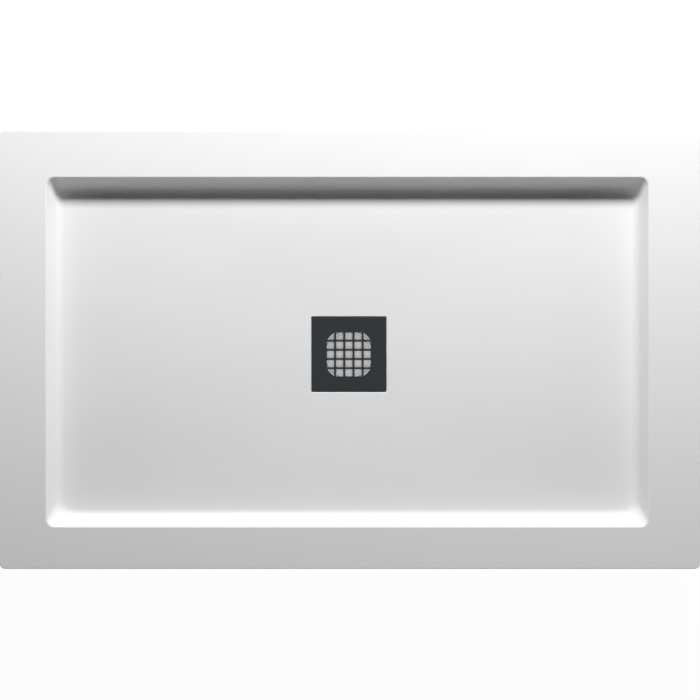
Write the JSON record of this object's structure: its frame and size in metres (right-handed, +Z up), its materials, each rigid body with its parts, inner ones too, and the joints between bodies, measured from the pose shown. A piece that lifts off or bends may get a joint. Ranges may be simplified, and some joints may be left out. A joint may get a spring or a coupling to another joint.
{
  "type": "shower tray",
  "caption": "Low rectangular shower tray with a wide flat rim, a flush square drain cover, a bell-trap waste and screw-adjusted riser legs.",
  "frame": {"origin": "on the floor, under the middle of the tray's outline", "axes": "+X along the length, to the side that the trap's outlet faces; +Y to the back, the wall side; +Z up"},
  "size_m": [1.2, 0.75, 0.17],
  "materials": {
    "white_acrylic": "glossy white sanitary acrylic",
    "stone_resin": "cast stone resin, matt, slightly speckled",
    "anthracite_cover": "satin anthracite powder coat",
    "white_plastic": "moulded white polypropylene, semi-gloss",
    "black_nylon": "moulded black nylon, fine matt grain",
    "stainless_steel": "plain stainless steel",
    "zinc_steel": "bright zinc-plated steel",
    "black_rubber": "matt black rubber"
  },
  "bodies": {
    "root": {"acrylic_cap": "white_acrylic", "stone_resin_core": "stone_resin", "waste_flange": "white_plastic", "upper_gasket": "black_rubber", "lower_gasket": "black_rubber", "flange_screws": "stainless_steel", "trap_body": "white_plastic", "standpipe": "white_plastic", "outlet_duct": "white_plastic", "outlet_socket": "white_plastic", "outlet_seal": "black_rubber", "outlet_nut": "white_plastic", "leg_screws": "zinc_steel", "front_left_leg_socket": "black_nylon", "front_left_lock_nut": "zinc_steel", "front_middle_leg_socket": "black_nylon", "front_middle_lock_nut": "zinc_steel", "front_right_leg_socket": "black_nylon", "front_right_lock_nut": "zinc_steel", "back_left_leg_socket": "black_nylon", "back_left_lock_nut": "zinc_steel", "back_middle_leg_socket": "black_nylon", "back_middle_lock_nut": "zinc_steel", "back_right_leg_socket": "black_nylon", "back_right_lock_nut": "zinc_steel"},
    "cover": {"drain_cover": "anthracite_cover", "cover_centring_ring": "white_plastic", "cover_pads": "black_rubber"},
    "bell": {"siphon_bell": "white_plastic"},
    "front_left_stud": {"front_left_leg_stud": "zinc_steel"},
    "front_left_foot": {"front_left_foot_pad": "black_nylon", "front_left_foot_sole": "black_rubber"},
    "front_middle_stud": {"front_middle_leg_stud": "zinc_steel"},
    "front_middle_foot": {"front_middle_foot_pad": "black_nylon", "front_middle_foot_sole": "black_rubber"},
    "front_right_stud": {"front_right_leg_stud": "zinc_steel"},
    "front_right_foot": {"front_right_foot_pad": "black_nylon", "front_right_foot_sole": "black_rubber"},
    "back_left_stud": {"back_left_leg_stud": "zinc_steel"},
    "back_left_foot": {"back_left_foot_pad": "black_nylon", "back_left_foot_sole": "black_rubber"},
    "back_middle_stud": {"back_middle_leg_stud": "zinc_steel"},
    "back_middle_foot": {"back_middle_foot_pad": "black_nylon", "back_middle_foot_sole": "black_rubber"},
    "back_right_stud": {"back_right_leg_stud": "zinc_steel"},
    "back_right_foot": {"back_right_foot_pad": "black_nylon", "back_right_foot_sole": "black_rubber"}
  },
  "joints": [
    {"name": "cover_lift", "type": "slide", "parent": "root", "child": "cover", "axis": [0, 0, 1], "range_m": [0, 0.25]},
    {"name": "bell_lift", "type": "slide", "parent": "root", "child": "bell", "axis": [0, 0, 1], "range_m": [0, 0.12]},
    {"name": "front_left_height", "type": "slide", "parent": "root", "child": "front_left_foot", "axis": [0, 0, -1], "range_m": [-0.01, 0.025]},
    {"name": "front_left_turn", "type": "hinge", "parent": "front_left_foot", "child": "front_left_stud", "pos_m": [-0.485, -0.266, 0.05], "axis": [0, 0, -1], "range_deg": [-2057.15, 5142.87]},
    {"name": "front_middle_height", "type": "slide", "parent": "root", "child": "front_middle_foot", "axis": [0, 0, -1], "range_m": [-0.01, 0.025]},
    {"name": "front_middle_turn", "type": "hinge", "parent": "front_middle_foot", "child": "front_middle_stud", "pos_m": [0, -0.266, 0.05], "axis": [0, 0, -1], "range_deg": [-2057.15, 5142.87]},
    {"name": "front_right_height", "type": "slide", "parent": "root", "child": "front_right_foot", "axis": [0, 0, -1], "range_m": [-0.01, 0.025]},
    {"name": "front_right_turn", "type": "hinge", "parent": "front_right_foot", "child": "front_right_stud", "pos_m": [0.485, -0.266, 0.05], "axis": [0, 0, -1], "range_deg": [-2057.15, 5142.87]},
    {"name": "back_left_height", "type": "slide", "parent": "root", "child": "back_left_foot", "axis": [0, 0, -1], "range_m": [-0.01, 0.025]},
    {"name": "back_left_turn", "type": "hinge", "parent": "back_left_foot", "child": "back_left_stud", "pos_m": [-0.485, 0.266, 0.05], "axis": [0, 0, -1], "range_deg": [-2057.15, 5142.87]},
    {"name": "back_middle_height", "type": "slide", "parent": "root", "child": "back_middle_foot", "axis": [0, 0, -1], "range_m": [-0.01, 0.025]},
    {"name": "back_middle_turn", "type": "hinge", "parent": "back_middle_foot", "child": "back_middle_stud", "pos_m": [0, 0.266, 0.05], "axis": [0, 0, -1], "range_deg": [-2057.15, 5142.87]},
    {"name": "back_right_height", "type": "slide", "parent": "root", "child": "back_right_foot", "axis": [0, 0, -1], "range_m": [-0.01, 0.025]},
    {"name": "back_right_turn", "type": "hinge", "parent": "back_right_foot", "child": "back_right_stud", "pos_m": [0.485, 0.266, 0.05], "axis": [0, 0, -1], "range_deg": [-2057.15, 5142.87]}
  ],
  "couplings": [
    {"joint": "bell_lift", "follows": "cover_lift", "ratio": 0.48},
    {"joint": "front_left_turn", "follows": "front_left_height", "rad_per_m": 3590.4},
    {"joint": "front_middle_turn", "follows": "front_middle_height", "rad_per_m": 3590.4},
    {"joint": "front_right_turn", "follows": "front_right_height", "rad_per_m": 3590.4},
    {"joint": "back_left_turn", "follows": "back_left_height", "rad_per_m": 3590.4},
    {"joint": "back_middle_turn", "follows": "back_middle_height", "rad_per_m": 3590.4},
    {"joint": "back_right_turn", "follows": "back_right_height", "rad_per_m": 3590.4}
  ]
}
